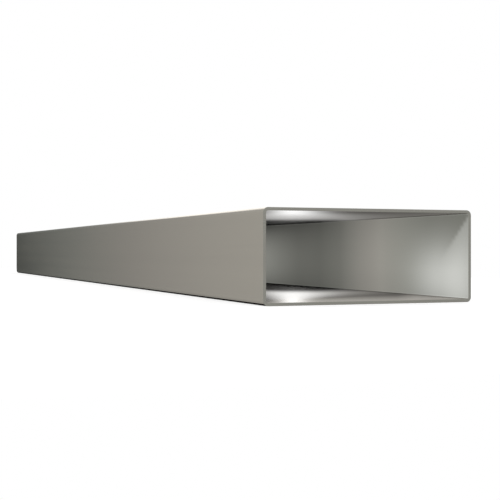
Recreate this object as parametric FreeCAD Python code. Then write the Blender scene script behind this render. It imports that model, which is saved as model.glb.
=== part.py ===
import FreeCAD, Part
import os

# Flat channel duct: one straight length of hollow rectangular channel with walls of even thickness,
# rounded corners and both ends cut square. It lies on a wide wall: X runs across the width, Y along
# the length and Z up, with the origin in the middle of the face that it rests on. Millimetres.

# Driving dimensions
duct_length = 1500.0
duct_width = 220.0  # over the outside of the two side walls
duct_height = 90.0  # over the outside of the top and bottom walls
wall_thickness = 3.0
inner_corner_radius = 2.0
cut_edge_radius = 0.4  # the deburred edges of the two sawn ends

# Sizes that follow from them
outer_corner_radius = inner_corner_radius + wall_thickness  # so the wall keeps its thickness round a corner
airway_width = duct_width - 2 * wall_thickness
airway_height = duct_height - 2 * wall_thickness
front_end = -duct_length / 2
section_middle = FreeCAD.Vector(0, front_end, duct_height / 2)

corner_sides = [(1, 1), (-1, 1), (-1, -1), (1, -1)]  # across and up, in the order of the quarter turns
quarter_turn = 90.0
end_tolerance = 0.001


def across(radius, angle):
    """A point at that radius and angle from X towards Z, in the plane of the section."""
    return FreeCAD.Rotation(FreeCAD.Vector(0, -1, 0), angle).multVec(FreeCAD.Vector(radius, 0, 0))


def section_outline(width, height, corner_radius):
    """The outline of a rectangle with rounded corners, standing across the duct at its front end."""
    arcs = []
    for quarter, (side, rise) in enumerate(corner_sides):
        corner = FreeCAD.Vector(side * (width / 2 - corner_radius), 0, rise * (height / 2 - corner_radius))
        centre = section_middle + corner
        start, middle, end = (
            centre + across(corner_radius, (quarter + share) * quarter_turn) for share in (0, 0.5, 1)
        )
        arcs.append(Part.Arc(start, middle, end))
    outline = []
    for arc, next_arc in zip(arcs, arcs[1:] + arcs[:1]):
        outline.append(arc.toShape())
        outline.append(Part.LineSegment(arc.EndPoint, next_arc.StartPoint).toShape())
    return Part.Wire(outline)


def is_cut_edge(edge):
    """True for an edge that lies in the plane of a sawn end."""
    box = edge.BoundBox
    flat = box.YLength < end_tolerance
    return flat and abs(abs(box.Center.y) - duct_length / 2) < end_tolerance


def flat_channel():
    """The section, wall round airway, drawn out to the duct's length and deburred at both ends."""
    outside = section_outline(duct_width, duct_height, outer_corner_radius)
    airway = section_outline(airway_width, airway_height, inner_corner_radius)
    section = Part.makeFace([outside, airway], "Part::FaceMakerBullseye")
    channel = section.extrude(FreeCAD.Vector(0, duct_length, 0))
    cut_edges = [edge for edge in channel.Edges if is_cut_edge(edge)]
    deburred = channel.makeFillet(cut_edge_radius, cut_edges)
    return deburred.Solids[0]


os.makedirs("parts", exist_ok=True)
duct = flat_channel()
duct.exportStep("parts/flat_channel.step")
print("flat_channel", duct.ShapeType, "valid", duct.isValid(), "volume mm3", round(duct.Volume))
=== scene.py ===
import math
import bpy
import numpy as np
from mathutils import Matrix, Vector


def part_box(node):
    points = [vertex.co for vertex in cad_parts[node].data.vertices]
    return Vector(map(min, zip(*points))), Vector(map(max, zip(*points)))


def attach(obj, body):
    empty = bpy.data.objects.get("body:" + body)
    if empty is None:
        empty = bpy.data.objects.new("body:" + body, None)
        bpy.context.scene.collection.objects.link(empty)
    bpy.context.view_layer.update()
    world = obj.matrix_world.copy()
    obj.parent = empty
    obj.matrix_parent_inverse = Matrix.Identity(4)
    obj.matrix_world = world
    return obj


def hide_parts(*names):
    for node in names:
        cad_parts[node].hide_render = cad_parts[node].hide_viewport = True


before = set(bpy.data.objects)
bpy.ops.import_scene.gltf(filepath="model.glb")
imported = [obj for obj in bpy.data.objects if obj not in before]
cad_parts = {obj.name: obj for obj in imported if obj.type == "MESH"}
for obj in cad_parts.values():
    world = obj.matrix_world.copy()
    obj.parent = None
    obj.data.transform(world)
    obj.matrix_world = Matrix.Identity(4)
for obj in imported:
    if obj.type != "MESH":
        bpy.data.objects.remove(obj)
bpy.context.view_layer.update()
ductLow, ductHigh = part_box("flat_channel")
ductSize = ductHigh - ductLow
ductMiddle = (ductLow + ductHigh) / 2
scene = bpy.context.scene
print("frame loaded, duct", [round(side, 4) for side in ductSize])


# sRGB hex to linear light: a straight line near black, a power curve above it
def linearColour(hexColour):
    srgb = np.array([int(hexColour[place:place + 2], 16) for place in (1, 3, 5)]) / 255
    linear = np.where(srgb <= 0.04045, srgb / 12.92, ((srgb + 0.055) / 1.055) ** 2.4)
    return (*linear.tolist(), 1.0)


# one node with its settings; an input given another node's socket is linked, any other value is set
def addNode(tree, kind, inputs=None, **settings):
    node = tree.nodes.new(kind)
    for name, value in settings.items():
        setattr(node, name, value)
    for name, value in (inputs or {}).items():
        if isinstance(value, bpy.types.NodeSocket):
            tree.links.new(value, node.inputs[name])
        else:
            node.inputs[name].default_value = value
    return node


# a material with an empty node tree
def newMaterial(name):
    material = bpy.data.materials.new(name)
    material.use_nodes = True
    material.node_tree.nodes.clear()
    return material


# the duct's skin: sizes in metres that the frame's box doesn't hold, and how finely it is cut
ductSkin = {
    "wall": 0.003,
    "innerRadius": 0.002,
    "cutEdgeRadius": 0.0004,  # deburred edges of the sawn ends
    "cornerSteps": 14,
    "cutEdgeSteps": 4,
    "rimSteps": 3,
    "topSteps": 22,
    "sideSteps": 9,
    "lengthSteps": 100,
    "airwayShare": 0.15,  # the airway's finish is smoother than the outside
}


# A loop round a rectangle with rounded corners. Each corner turns a quarter about its own centre, and
# each straight run between two corners slides that centre along. Point = centre + radius * direction.
def roundedLoop(halfWide, halfHigh, radius, cornerSteps, wideSteps, highSteps):
    signs = np.array([(1, 1), (-1, 1), (-1, -1), (1, -1)])
    corners = signs * (halfWide - radius, halfHigh - radius)
    centres, angles = [], []
    for quarter in range(4):
        turn = (quarter + np.linspace(0, 1, cornerSteps + 1)) * math.pi / 2
        runSteps = (wideSteps, highSteps)[quarter % 2]
        along = np.arange(1, runSteps)[:, None] / runSteps
        nextCorner = corners[(quarter + 1) % 4]
        run = corners[quarter] * (1 - along) + nextCorner * along
        centres += [np.repeat(corners[quarter:quarter + 1], len(turn), 0), run]
        angles += [turn, np.full(len(run), turn[-1])]
    angles = np.concatenate(angles)
    return np.concatenate(centres), np.stack([np.cos(angles), np.sin(angles)], 1)


# The skin is one closed surface of two parameters: the thin loop round the wall's own lengthwise
# section, carried round the rounded loop of the duct's section.
def buildDuct(cut):
    outerRadius = cut["innerRadius"] + cut["wall"]
    edge = cut["cutEdgeRadius"]
    centre, outwards = roundedLoop(ductSize.x / 2, ductSize.z / 2, outerRadius,
                                   cut["cornerSteps"], cut["topSteps"], cut["sideSteps"])
    wallCentre, wallFacing = roundedLoop(cut["wall"] / 2, ductSize.y / 2, edge,
                                         cut["cutEdgeSteps"], cut["rimSteps"], cut["lengthSteps"])
    wallPoint = wallCentre + edge * wallFacing  # outwards from mid-wall, and along the duct
    reach = outerRadius - cut["wall"] / 2 + wallPoint[:, 0]
    across = centre[:, None] + reach[None, :, None] * outwards[:, None]
    points = np.stack([ductMiddle.x + across[..., 0],
                       np.broadcast_to(ductMiddle.y + wallPoint[:, 1], across.shape[:2]),
                       ductMiddle.z + across[..., 1]], -1)
    facing = np.stack([outwards[:, None, 0] * wallFacing[:, 0],
                       np.broadcast_to(wallFacing[:, 1], across.shape[:2]),
                       outwards[:, None, 1] * wallFacing[:, 0]], -1)
    rounds, lengths = across.shape[:2]
    here = np.arange(rounds)[:, None] * lengths + np.arange(lengths)
    beside = np.roll(here, -1, 0)
    quads = np.stack([here, np.roll(here, -1, 1), np.roll(beside, -1, 1), beside], -1)
    mesh = bpy.data.meshes.new("flatChannelDuct")
    mesh.from_pydata(points.reshape(-1, 3), [], quads.reshape(-1, 4))
    mesh.shade_smooth()
    mesh.normals_split_custom_set_from_vertices(facing.reshape(-1, 3))
    zones = {
        "sawn": np.abs(wallFacing[:, 1]),  # 1 on the sawn ends
        "drawn": np.maximum(wallFacing[:, 0], cut["airwayShare"]),  # 1 on the outside
    }
    for name, share in zones.items():
        spread = np.broadcast_to(share, (rounds, lengths))
        mesh.attributes.new(name, "FLOAT", "POINT").data.foreach_set("value", spread.ravel())
    piece = bpy.data.objects.new("flatChannelDuct", mesh)
    scene.collection.objects.link(piece)
    return piece


# Satin anodised aluminium: soft broad reflections from the etched metal, and the clear sealed oxide
# over it adds a thin gloss that sharpens towards grazing angles. Drawn through a die, so it carries
# faint lines along the duct.
satinAluminium = {
    "colour": "#84837b",
    "roughness": 0.20,
    "coat": 1.0,
    "coatRoughness": 0.03,
}
# What breaks the finish up. Each is a noise of a size in metres across, along and up. Its span of noise
# values becomes its range, and shares of that go into the colour's tone, the roughness and the height.
finishPatterns = {
    "dieLines": {  # really about 0.2 mm wide, drawn coarser to show
        "size": (0.009, 1.6, 0.009), "detail": 4, "span": (0.3, 0.7), "range": (-1, 1),
        "tone": 0.07, "roughness": 0.03, "height": 0.000001, "only": "drawn",
    },
    "etchClouds": {  # uneven etching
        "size": (0.09, 0.4, 0.09), "detail": 2, "span": (0.3, 0.7), "range": (-1, 1),
        "tone": 0.05, "roughness": 0.04,
    },
    "etchGrain": {  # really about 0.1 mm, drawn coarser to show
        "size": (0.0016, 0.0024, 0.0016), "detail": 2, "span": (0.3, 0.7), "range": (-1, 1),
        "height": 0.000006, "only": "drawn",
    },
    "sawMarks": {  # across the cut ends, really about 0.4 mm apart
        "size": (0.060, 1.0, 0.0011), "detail": 2, "span": (0.3, 0.7), "range": (0, 1),
        "roughness": 0.08, "height": 0.000002, "only": "sawn",
    },
}


# Tone, roughness and height each start from a plain value and add every pattern's share of it.
def makeSatinAluminium(look, patterns):
    material = newMaterial("satinAnodisedAluminium")
    tree = material.node_tree
    place = addNode(tree, "ShaderNodeTexCoord").outputs["Object"]
    sums = {"tone": 1.0, "roughness": look["roughness"], "height": 0.0}
    for pattern in patterns.values():
        stretched = addNode(tree, "ShaderNodeVectorMath", {
            0: place, 1: [1 / side for side in pattern["size"]]}, operation="MULTIPLY")
        noise = addNode(tree, "ShaderNodeTexNoise", {
            "Vector": stretched.outputs[0], "Scale": 1.0, "Detail": pattern["detail"]})
        spread = addNode(tree, "ShaderNodeMapRange", {
            "Value": noise.outputs["Fac"], "From Min": pattern["span"][0], "From Max": pattern["span"][1],
            "To Min": pattern["range"][0], "To Max": pattern["range"][1]})
        value = spread.outputs["Result"]
        if "only" in pattern:
            where = addNode(tree, "ShaderNodeAttribute", attribute_name=pattern["only"])
            masked = addNode(tree, "ShaderNodeMath",
                             {0: value, 1: where.outputs["Fac"]}, operation="MULTIPLY")
            value = masked.outputs[0]
        for name in sums:
            if name in pattern:
                added = addNode(tree, "ShaderNodeMath",
                                {0: value, 1: pattern[name], 2: sums[name]}, operation="MULTIPLY_ADD")
                sums[name] = added.outputs[0]
    colour = addNode(tree, "ShaderNodeVectorMath", {
        0: linearColour(look["colour"])[:3], "Scale": sums["tone"]}, operation="SCALE")
    relief = addNode(tree, "ShaderNodeBump", {"Height": sums["height"], "Distance": 1.0})
    shader = addNode(tree, "ShaderNodeBsdfPrincipled", {
        "Base Color": colour.outputs[0], "Metallic": 1.0, "Roughness": sums["roughness"],
        "Coat Weight": look["coat"], "Coat Roughness": look["coatRoughness"],
        "Normal": relief.outputs[0]})
    addNode(tree, "ShaderNodeOutputMaterial", {"Surface": shader.outputs["BSDF"]})
    return material


duct = buildDuct(ductSkin)
duct.data.materials.append(makeSatinAluminium(satinAluminium, finishPatterns))
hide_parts("flat_channel")
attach(duct, "root")
print("duct skin:", len(duct.data.polygons), "faces")


# The floor: pale, and filled up to white where the camera looks at it, so that only the duct's own
# contact shade is left on it. The metal mirrors the white room in its place.
floorPanel = {
    "shade": "#cccccc",
    "roughness": 0.9,
    "fill": 0.57,
    "margin": 0.5,
}


def makePaleFloor(look):
    material = newMaterial("paleFloor")
    tree = material.node_tree
    rays = addNode(tree, "ShaderNodeLightPath")
    fill = addNode(tree, "ShaderNodeMath",
                   {0: rays.outputs["Is Camera Ray"], 1: look["fill"]}, operation="MULTIPLY")
    paint = addNode(tree, "ShaderNodeBsdfPrincipled", {
        "Base Color": linearColour(look["shade"]), "Roughness": look["roughness"],
        "Specular IOR Level": 0.0, "Emission Color": (1, 1, 1, 1), "Emission Strength": fill.outputs[0]})
    addNode(tree, "ShaderNodeOutputMaterial", {"Surface": paint.outputs[0]})
    return material


# the points of a flat grid: a corner plus shares of two edges
def panelPoints(corner, edges, steps=(1, 1)):
    along, up = [np.linspace(0, 1, count + 1)[..., None] for count in steps]
    return np.array(corner) + along[:, None] * np.array(edges[0]) + up[None] * np.array(edges[1])


# a stage surface through a grid of points; it faces the side that its first edge crossed with its
# second points to
def addStage(name, points, material):
    rows, columns = points.shape[:2]
    here = np.arange(rows)[:, None] * columns + np.arange(columns)
    quads = np.stack([here[:-1, :-1], here[1:, :-1], here[1:, 1:], here[:-1, 1:]], -1)
    mesh = bpy.data.meshes.new(name)
    mesh.from_pydata(points.reshape(-1, 3), [], quads.reshape(-1, 4))
    mesh.materials.append(material)
    surface = bpy.data.objects.new(name, mesh)
    scene.collection.objects.link(surface)
    return surface


margin = floorPanel["margin"]
floorPoints = panelPoints((ductLow.x - margin, ductLow.y - margin, ductLow.z),
                          ((ductSize.x + 2 * margin, 0, 0), (0, ductSize.y + 2 * margin, 0)))
addStage("floor", floorPoints, makePaleFloor(floorPanel)).visible_glossy = False


# a card's front glows by the colour kept at each point, and from behind it is clear
def makeCardGlow():
    material = newMaterial("cardGlow")
    tree = material.node_tree
    glowAt = addNode(tree, "ShaderNodeAttribute", attribute_name="glow")
    glow = addNode(tree, "ShaderNodeEmission", {"Color": glowAt.outputs["Color"]})
    clear = addNode(tree, "ShaderNodeBsdfTransparent")
    side = addNode(tree, "ShaderNodeNewGeometry")
    oneSided = addNode(tree, "ShaderNodeMixShader", {
        0: side.outputs["Backfacing"], 1: glow.outputs[0], 2: clear.outputs[0]})
    addNode(tree, "ShaderNodeOutputMaterial", {"Surface": oneSided.outputs[0]})
    return material


cardGlow = makeCardGlow()


# Cards only show mirrored in the metal: the camera, the floor and the shadows don't see them.
def addCard(name, points, glow):
    card = addStage(name, points, cardGlow)
    card.data.attributes.new("glow", "FLOAT_COLOR", "POINT").data.foreach_set("color", glow.ravel())
    card.visible_camera = card.visible_diffuse = card.visible_shadow = False


# a tint times a level at each point
def tinted(level, hexColour):
    return level[..., None] * np.array(linearColour(hexColour))


# a soft step from 0 to 1: three times the square less twice the cube
def softStep(value, low, high):
    share = np.clip((value - low) / (high - low), 0, 1)
    return share * share * (3 - 2 * share)


# a bell of height 1 about a middle value: e to minus half the squared distance in spreads
def bell(value, middle, spread):
    return np.exp(-0.5 * ((value - middle) / spread) ** 2)


# heights of a bent line given by its corners
def bentLine(value, corners):
    return np.interp(value, *np.transpose(corners))


# The room that the metal mirrors: a ball round the duct, dark straight behind it and paler to all
# sides, with its light a little stronger from the upper left in front, and a leaning window behind the
# duct on the right, brighter in its upper half. Behind the duct its light is warm, and faintly green
# where it is darkest. Angles are in radians.
room = {
    "radius": 3.0,
    "steps": (180, 90),
    "tint": "#ffffff",
    "backTint": "#fff9f0",
    "darkTint": "#fbfff5",
    "darkLevels": (0.15, 0.42),
    "darkest": -0.10,
    "leftRate": 2.26,  # level gained in a radian
    "rightRate": 1.0,
    "upRate": 1.4,
    "level": 0.875,
    "swing": 0.22,
    "strongestFrom": (-0.5, -0.4, 0.77),
    "window": 1.0,
    "windowTurn": ((0.28, 0), (0.35, 1), (0.60, 1), (1.0, 0)),
    "windowRise": ((0, 0), (0.08, 0.55), (0.20, 0.55), (0.30, 1), (0.40, 1), (0.7, 0)),
    "windowSlant": 0.8,
}


# Out from the middle by turn and rise. Level = the distance from the darkest direction, as the root of
# the squared turn and rise each times its rate, at most 1, times a swing by the angle to the strongest,
# plus the window as one bent line over the turn, which leans with the rise, times one over the rise.
def addRoom(look):
    turn = np.linspace(-math.pi, math.pi, look["steps"][0] + 1)[:, None]
    rise = np.linspace(-math.pi / 2, math.pi / 2, look["steps"][1] + 1)[None]
    outwards = np.stack(np.broadcast_arrays(
        np.sin(turn) * np.cos(rise), np.cos(turn) * np.cos(rise), np.sin(rise)), -1)
    aside = turn - look["darkest"]
    aside = aside * np.where(aside < 0, look["leftRate"], look["rightRate"])
    level = np.minimum(np.hypot(aside, rise * look["upRate"]), 1)
    level *= look["level"] + look["swing"] * (outwards @ np.array(look["strongestFrom"]))
    slanted = turn + look["windowSlant"] * rise
    level += look["window"] * bentLine(slanted, look["windowTurn"]) * bentLine(rise, look["windowRise"])
    behind = softStep(outwards[..., 1], 0, 1)
    dark = behind * (1 - softStep(level, *look["darkLevels"]))
    glow = (tinted(level * (1 - behind), look["tint"]) + tinted(level * (behind - dark), look["backTint"])
            + tinted(level * dark, look["darkTint"]))
    addCard("room", look["radius"] * outwards, glow)


addRoom(room)

# under the duct: a black card, seen only mirrored, paints the shade in the gap between its rounded lower
# edges and the floor as a dark line along those edges
gapShadeCard = {
    "tint": "#000000",
    "inset": 0.0005,
    "rise": 0.0002,
}
inset = gapShadeCard["inset"]
gapPoints = panelPoints((ductLow.x + inset, ductLow.y + inset, ductLow.z + gapShadeCard["rise"]),
                        ((ductSize.x - 2 * inset, 0, 0), (0, ductSize.y - 2 * inset, 0)))
addCard("gapShadeCard", gapPoints, tinted(np.ones(gapPoints.shape[:2]), gapShadeCard["tint"]))

innerHalfWide = ductSize.x / 2 - ductSkin["wall"]
innerLow, innerHigh = ductLow.z + ductSkin["wall"], ductHigh.z - ductSkin["wall"]


# how far points lie from the nearer open end
def mouthDepth(points):
    return ductSize.y / 2 - np.abs(points[..., 1] - ductMiddle.y)


# A panel along a side wall inside one end of the duct. It faces 1 for +X or -1 for -X, and the end is
# -1 for the front or 1 for the rear.
def sidePoints(x, facing, end, depths, heights, steps):
    ys = [ductMiddle.y + end * (ductSize.y / 2 - depth) for depth in depths]
    start, stop = sorted(ys, reverse=facing < 0)
    return panelPoints((x, start, heights[0]), ((0, stop - start, 0), (0, 0, heights[1] - heights[0])), steps)


# Beside an inner side wall, for that wall: a slow change along the duct, a pool of light near the open
# end, and the light that a slanting shade leaves in the upper corner there. Bent lines go by the depth
# from the open end in metres.
wallCard = {
    "runTint": "#fdfffb",
    "warmTint": "#fffcf9",
    "poolTint": "#f5f8ff",
    "steps": (120, 60),
    "standOff": 0.003,
    "depths": (0.001, 0.60),
    "run": ((0.02, 0.64), (0.08, 0.65), (0.14, 0.80), (0.185, 0.87), (0.235, 0.68), (0.29, 0.42),
            (0.35, 0.32), (0.42, 0.33), (0.468, 0.41), (0.528, 0.53)),
    "warmDepth": 0.21,
    "warmLong": 0.045,
    "dim": ((0.27, 0.12), (0.528, 0.60)),
    "dimHeight": 0.038,
    "dimReach": 0.042,
    "pool": 1.15,
    "poolDepth": 0.052,
    "poolLong": 0.040,
    "poolHeight": 0.024,
    "poolHigh": 0.024,
    "lit": 0.57,
    "litFade": (0.011, 0.061),
    "shadeSlant": 1.155,
    "shadeEdge": (0.0990, 0.1050),
}
# the other three walls, with less light; they start clear of what the front view sees past an edge
plainWall = {**wallCard, "depths": (0.022, 0.60), "pool": 0.3, "lit": 0.0}


# level = the run along the duct, warm about one depth, less a share that grows with the square of the
# distance from one height, plus a pool as the product of two bells, plus what lies in front of a
# slanting line
def wallGlow(points, look):
    depth = mouthDepth(points)
    height = points[..., 2]
    run = bentLine(depth, look["run"])
    run *= 1 - bentLine(depth, look["dim"]) * ((height - look["dimHeight"]) / look["dimReach"]) ** 2
    pool = look["pool"] * bell(depth, look["poolDepth"], look["poolLong"])
    pool *= bell(height, look["poolHeight"], look["poolHigh"])
    lit = look["lit"] * (1 - softStep(depth + look["shadeSlant"] * height, *look["shadeEdge"]))
    lit *= 1 - softStep(depth, *look["litFade"])
    warm = bell(depth, look["warmDepth"], look["warmLong"])
    return (tinted(run * (1 - warm), look["runTint"]) + tinted(run * warm, look["warmTint"])
            + tinted(pool + lit, look["poolTint"]))


for name, side, end, look in (("rightWallFront", 1, -1, wallCard), ("leftWallFront", -1, -1, plainWall),
                              ("rightWallRear", 1, 1, plainWall), ("leftWallRear", -1, 1, plainWall)):
    points = sidePoints(side * (innerHalfWide - look["standOff"]), side, end, look["depths"],
                        (innerLow, innerHigh), look["steps"])
    addCard(name, points, wallGlow(points, look))

# Against the right inner wall, for the inner bottom and top to mirror: painted highlights as a wide glow
# beside the edge and a narrow one further from it, parted by a darker slanting foot line, with a dark margin
# of painted corner shade along the edge itself and daylight at the open end. Pairs are the values beside the
# edge and beyond the foot line, and bent lines go by depth.
lowerGloss = {
    "baseTint": "#fffaf1",
    "peakTint": "#ffffff",
    "edge": innerLow,
    "base": (0.22, 0.43),
    "peak": (1.08, 1.2),
    "spread": (0.080, 0.031),
    "foot": ((0.10, -0.001), (0.14, 0.0024), (0.23, 0.0072), (0.36, 0.0146), (0.52, 0.024)),
    "footSoft": 0.0015,
    "footDip": ((0.04, 0.3), (0.14, 0.6), (0.32, 0.5), (0.415, 0.0), (0.45, 0.0), (0.53, 0.75)),
    "footWide": ((0.12, 0.003), (0.30, 0.002), (0.42, 0.002), (0.53, 0.005)),
    "margin": ((0.07, -0.004), (0.20, -0.001), (0.27, 0.0018), (0.35, 0.0060), (0.46, 0.0102),
               (0.52, 0.0116)),
    "marginSoft": 0.003,
    "mouth": 0.12,
}
upperGloss = {
    "baseTint": "#fffaf1",
    "peakTint": "#ffffff",
    "edge": innerHigh,
    "base": (0.15, 0.085),
    "peak": (0.57, 1.12),
    "spread": (0.118, 0.062),
    "foot": ((0.10, 0.004), (0.285, 0.0077), (0.52, 0.0152)),
    "footSoft": 0.004,
    "margin": ((0.1, -0.004), (0.23, -0.002), (0.30, 0.0020), (0.36, 0.0042), (0.52, 0.0084)),
    "marginSoft": 0.003,
    "mouth": 0.06,
}
glossSetup = {
    "standOff": 0.0005,
    "middle": 0.428,
    "mouthFade": 0.035,
    "depths": (0.001, 0.62),
    "steps": (124, 120),
    "blend": (0.031, 0.059),  # heights between which the upper glow takes over from the lower
}


# level = a bell along the duct on a base level, times a soft step at the margin, less a bell across the
# foot line, plus daylight as e to minus the depth in fades
def glossGlow(points, look):
    depth = mouthDepth(points)
    fromEdge = np.abs(points[..., 2] - look["edge"])
    fromFoot = fromEdge - bentLine(depth, look["foot"])
    beyond = softStep(fromFoot, -look["footSoft"], look["footSoft"])
    base, peak, spread = [beside * (1 - beyond) + further * beyond
                          for beside, further in (look["base"], look["peak"], look["spread"])]
    # lit falls to 0 in the dark margin: painted shade along the inner corner
    lit = softStep(fromEdge - bentLine(depth, look["margin"]), -look["marginSoft"], look["marginSoft"])
    if "footDip" in look:
        lit *= 1 - bentLine(depth, look["footDip"]) * bell(fromFoot, 0, bentLine(depth, look["footWide"]))
    glow = (peak - base) * bell(depth, glossSetup["middle"], spread)
    daylight = look["mouth"] * np.exp(-depth / glossSetup["mouthFade"])
    return tinted(base * lit + daylight, look["baseTint"]) + tinted(glow * lit, look["peakTint"])


glossPoints = sidePoints(innerHalfWide - glossSetup["standOff"], -1, -1, glossSetup["depths"],
                         (innerLow, innerHigh), glossSetup["steps"])
upperShare = softStep(glossPoints[..., 2:], *glossSetup["blend"])
addCard("rightGloss", glossPoints, glossGlow(glossPoints, lowerGloss) * (1 - upperShare)
        + glossGlow(glossPoints, upperGloss) * upperShare)

# against the other inner faces: daylight from the two open ends, fading inwards
lining = {
    "tint": "#fffdf8",
    "steps": (150, 1),
    "standOff": 0.0005,
    "depths": (0.001, ductSize.y / 2),
    "mouth": 0.9,
    "deep": 0.11,
    "fade": 0.40,
}


# level = a deep level, plus the rest times e to minus the distance from the open end in fades
def liningGlow(points, look):
    nearMouth = np.exp(-mouthDepth(points) / look["fade"])
    return tinted(look["deep"] + (look["mouth"] - look["deep"]) * nearMouth, look["tint"])


for name, side, end in (("leftLiningFront", -1, -1), ("leftLiningRear", -1, 1), ("rightLiningRear", 1, 1)):
    points = sidePoints(side * (innerHalfWide - lining["standOff"]), -side, end, lining["depths"],
                        (innerLow, innerHigh), lining["steps"])
    addCard(name, points, liningGlow(points, lining))
flatHalf = innerHalfWide - ductSkin["innerRadius"]
for name, side, z in (("topLining", 1, innerHigh - lining["standOff"]),
                      ("bottomLining", -1, innerLow + lining["standOff"])):
    points = panelPoints((-side * flatHalf, ductLow.y, z),
                         ((0, ductSize.y, 0), (2 * side * flatHalf, 0, 0)), lining["steps"])
    addCard(name, points, liningGlow(points, lining))
print("floor, room and cards set")

# the camera, found from the edges of the duct in the 500 pixel frame
cameraSetup = {
    "place": (-0.4546, -1.6051, 0.0506),
    "headingDegrees": 21.21,
    "riseDegrees": 0.025,
    "focalPixels": 1020.5,
    "framePixels": 500,
    "sensorMillimetres": 36,
}


def addCamera(setup):
    camera = bpy.data.objects.new("camera", bpy.data.cameras.new("camera"))
    scene.collection.objects.link(camera)
    camera.data.sensor_width = setup["sensorMillimetres"]
    camera.data.lens = setup["sensorMillimetres"] * setup["focalPixels"] / setup["framePixels"]
    camera.location = setup["place"]
    tilt = math.radians(90 + setup["riseDegrees"])
    camera.rotation_euler = (tilt, 0, -math.radians(setup["headingDegrees"]))
    scene.camera = camera


addCamera(cameraSetup)

# plain white all round, which lights the floor and is the background
world = bpy.data.worlds.new("whiteStudio")
scene.world = world
world.use_nodes = True
world.node_tree.nodes.clear()
white = addNode(world.node_tree, "ShaderNodeBackground", {"Color": (1, 1, 1, 1), "Strength": 1.0})
addNode(world.node_tree, "ShaderNodeOutputWorld", {"Surface": white.outputs[0]})

scene.view_settings.view_transform = "Standard"
